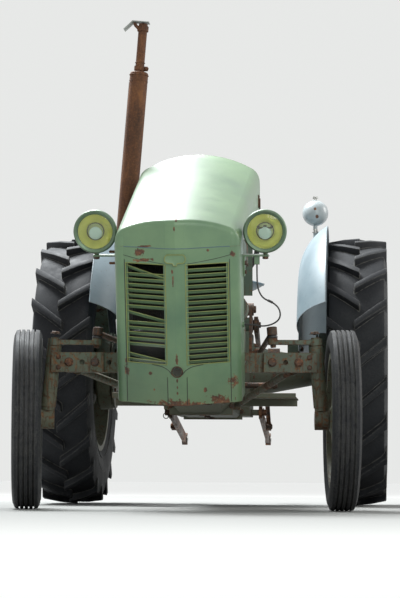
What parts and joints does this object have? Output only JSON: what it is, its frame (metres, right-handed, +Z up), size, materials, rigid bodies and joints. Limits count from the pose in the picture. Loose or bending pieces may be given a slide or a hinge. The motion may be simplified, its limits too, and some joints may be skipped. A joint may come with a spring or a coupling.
{
  "type": "farm tractor",
  "caption": "Small grey utility tractor with ribbed front wheels, lugged rear wheels, tipped bonnet, upright exhaust stack and a rear lift linkage.",
  "frame": {"origin": "on the floor under the middle of the tractor's bounding box", "axes": "+Z up, the tractor faces -Y, +X is its left side"},
  "size_m": [1.596, 3.0688, 2.0704],
  "materials": {
    "aluminium_sheet": "dull sheet",
    "battery_case": "dusty black case",
    "black_enamel": "black enamel",
    "cable_black": "black insulation",
    "cast_paint": "dull grey paint over castings, oily",
    "dark_iron": "dirty dark iron",
    "grey_paint": "weathered pale green-grey paint, rust at the edges",
    "lamp_glass": "yellowed glass",
    "rubber_tyre": "worn, dusty rubber",
    "rusty_steel": "brown rust"
  },
  "bodies": {
    "chassis": {"air_intake": "cast_paint", "axle_arms": "dark_iron", "axle_beam": "dark_iron", "battery": "battery_case", "clutch_housing": "cast_paint", "cylinder_head": "cast_paint", "dash": "grey_paint", "engine_block": "cast_paint", "engine_fittings": "cast_paint", "exhaust_stack": "rusty_steel", "fan": "dark_iron", "fender_left": "grey_paint", "fender_right": "grey_paint", "footrests": "grey_paint", "front_support": "cast_paint", "fuel_tank": "grey_paint", "gearbox": "cast_paint", "levers": "dark_iron", "lift_cover": "cast_paint", "manifold": "rusty_steel", "pedals": "dark_iron", "radiator": "black_enamel", "radiator_hoses": "cable_black", "radius_rods": "dark_iron", "rear_axle": "cast_paint", "seat_pan": "grey_paint", "seat_spring": "dark_iron", "steering_box": "cast_paint", "work_lamp": "grey_paint"},
    "bonnet": {"bonnet_top": "grey_paint", "nose_shell": "grey_paint", "louvres_left": "grey_paint", "louvres_right": "grey_paint", "headlamps": "grey_paint", "headlamp_glass": "lamp_glass", "lamp_brackets": "grey_paint", "lamp_lead": "cable_black"},
    "rain_cap": {"rain_cap": "aluminium_sheet"},
    "steering_wheel": {"steering_wheel": "battery_case"},
    "lift_arms": {"lift_arms": "dark_iron"},
    "stub_left": {"stub_axle_left": "dark_iron"},
    "front_wheel_left": {"front_rim_left": "grey_paint", "front_tyre_left": "rubber_tyre"},
    "rear_wheel_left": {"rear_rim_left": "grey_paint", "rear_tyre_left": "rubber_tyre", "rear_hub_left": "grey_paint"},
    "drag_link_left": {"drag_link_left": "dark_iron"},
    "drop_arm_left": {"drop_arm_left": "dark_iron"},
    "lower_link_left": {"lower_link_left": "dark_iron"},
    "lift_rod_left": {"lift_rod_left": "dark_iron"},
    "stub_right": {"stub_axle_right": "dark_iron"},
    "front_wheel_right": {"front_rim_right": "grey_paint", "front_tyre_right": "rubber_tyre"},
    "rear_wheel_right": {"rear_rim_right": "grey_paint", "rear_tyre_right": "rubber_tyre", "rear_hub_right": "grey_paint"},
    "drag_link_right": {"drag_link_right": "dark_iron"},
    "drop_arm_right": {"drop_arm_right": "dark_iron"},
    "lower_link_right": {"lower_link_right": "dark_iron"},
    "lift_rod_right": {"lift_rod_right": "dark_iron"}
  },
  "joints": [
    {"name": "steer_left", "type": "hinge", "parent": "chassis", "child": "stub_left", "pos_m": [0.514, -1.05386, 0.568], "axis": [-0.0872, 0, 0.9962], "range_deg": [-36.5, 24]},
    {"name": "front_wheel_left_spin", "type": "hinge", "parent": "stub_left", "child": "front_wheel_left", "pos_m": [0.60927, -1.0479, 0.34798], "axis": [0.9969, 0.0782, -0.0003], "continuous": true},
    {"name": "rear_wheel_left_spin", "type": "hinge", "parent": "chassis", "child": "rear_wheel_left", "pos_m": [0.6605, 0.72414, 0.6225], "axis": [1, 0, 0], "continuous": true},
    {"name": "drag_link_left_swing", "type": "hinge", "parent": "stub_left", "child": "drag_link_left", "pos_m": [0.3405, -1.06666, 0.68404], "axis": [-0.0872, 0, 0.9962], "range_deg": [-25, 37.5]},
    {"name": "drop_arm_left_swing", "type": "hinge", "parent": "chassis", "child": "drop_arm_left", "pos_m": [0, -0.09386, 0.85], "axis": [1, 0, 0], "range_deg": [-21.4, 32.02]},
    {"name": "lower_link_left_lift", "type": "hinge", "parent": "chassis", "child": "lower_link_left", "pos_m": [0, 0.72414, 0.43], "axis": [1, 0, 0], "range_deg": [-12, 40]},
    {"name": "lift_rod_left_swing", "type": "hinge", "parent": "lift_arms", "child": "lift_rod_left", "pos_m": [0, 0.99665, 0.74081], "axis": [1, 0, 0], "range_deg": [-60, 18]},
    {"name": "steer_right", "type": "hinge", "parent": "chassis", "child": "stub_right", "pos_m": [-0.514, -1.05386, 0.568], "axis": [0.0872, 0, 0.9962], "range_deg": [-36.5, 24]},
    {"name": "front_wheel_right_spin", "type": "hinge", "parent": "stub_right", "child": "front_wheel_right", "pos_m": [-0.60876, -1.06443, 0.34794], "axis": [0.9903, 0.1386, 0.0008], "continuous": true},
    {"name": "rear_wheel_right_spin", "type": "hinge", "parent": "chassis", "child": "rear_wheel_right", "pos_m": [-0.6605, 0.72414, 0.6225], "axis": [1, 0, 0], "continuous": true},
    {"name": "drag_link_right_swing", "type": "hinge", "parent": "stub_right", "child": "drag_link_right", "pos_m": [-0.34158, -1.03114, 0.68414], "axis": [0.0872, 0, 0.9962], "range_deg": [-25, 37.5]},
    {"name": "drop_arm_right_swing", "type": "hinge", "parent": "chassis", "child": "drop_arm_right", "pos_m": [0, -0.09386, 0.85], "axis": [1, 0, 0], "range_deg": [-32.02, 21.4]},
    {"name": "lower_link_right_lift", "type": "hinge", "parent": "chassis", "child": "lower_link_right", "pos_m": [0, 0.72414, 0.43], "axis": [1, 0, 0], "range_deg": [-12, 40]},
    {"name": "lift_rod_right_swing", "type": "hinge", "parent": "lift_arms", "child": "lift_rod_right", "pos_m": [0, 0.99665, 0.74081], "axis": [1, 0, 0], "range_deg": [-60, 18]},
    {"name": "steering_wheel_turn", "type": "hinge", "parent": "chassis", "child": "steering_wheel", "pos_m": [0, 0.21614, 1.16], "axis": [0, 0.7314, 0.682], "range_deg": [-441, 291]},
    {"name": "lift", "type": "hinge", "parent": "chassis", "child": "lift_arms", "pos_m": [0, 0.72414, 0.84], "axis": [1, 0, 0], "range_deg": [-15, 55]},
    {"name": "bonnet_tip", "type": "hinge", "parent": "chassis", "child": "bonnet", "pos_m": [0, -1.29386, 0.45], "axis": [1, 0, 0], "range_deg": [-13.5, 36.5]},
    {"name": "rain_cap_flap", "type": "hinge", "parent": "chassis", "child": "rain_cap", "pos_m": [-0.2855, -0.30386, 2.0587], "axis": [0, -1, 0], "range_deg": [0, 60]}
  ],
  "couplings": [
    {"joint": "drag_link_left_swing", "follows": "steer_left", "ratio": -1},
    {"joint": "drop_arm_left_swing", "follows": "steer_left", "ratio": -0.85},
    {"joint": "lower_link_left_lift", "follows": "lift", "ratio": 0.695},
    {"joint": "lift_rod_left_swing", "follows": "lift", "ratio": -1.075},
    {"joint": "steer_right", "follows": "steer_left", "ratio": 1},
    {"joint": "drag_link_right_swing", "follows": "steer_left", "ratio": -1},
    {"joint": "drop_arm_right_swing", "follows": "steer_left", "ratio": 0.85},
    {"joint": "lower_link_right_lift", "follows": "lift", "ratio": 0.695},
    {"joint": "lift_rod_right_swing", "follows": "lift", "ratio": -1.075},
    {"joint": "steering_wheel_turn", "follows": "steer_left", "ratio": 12}
  ]
}
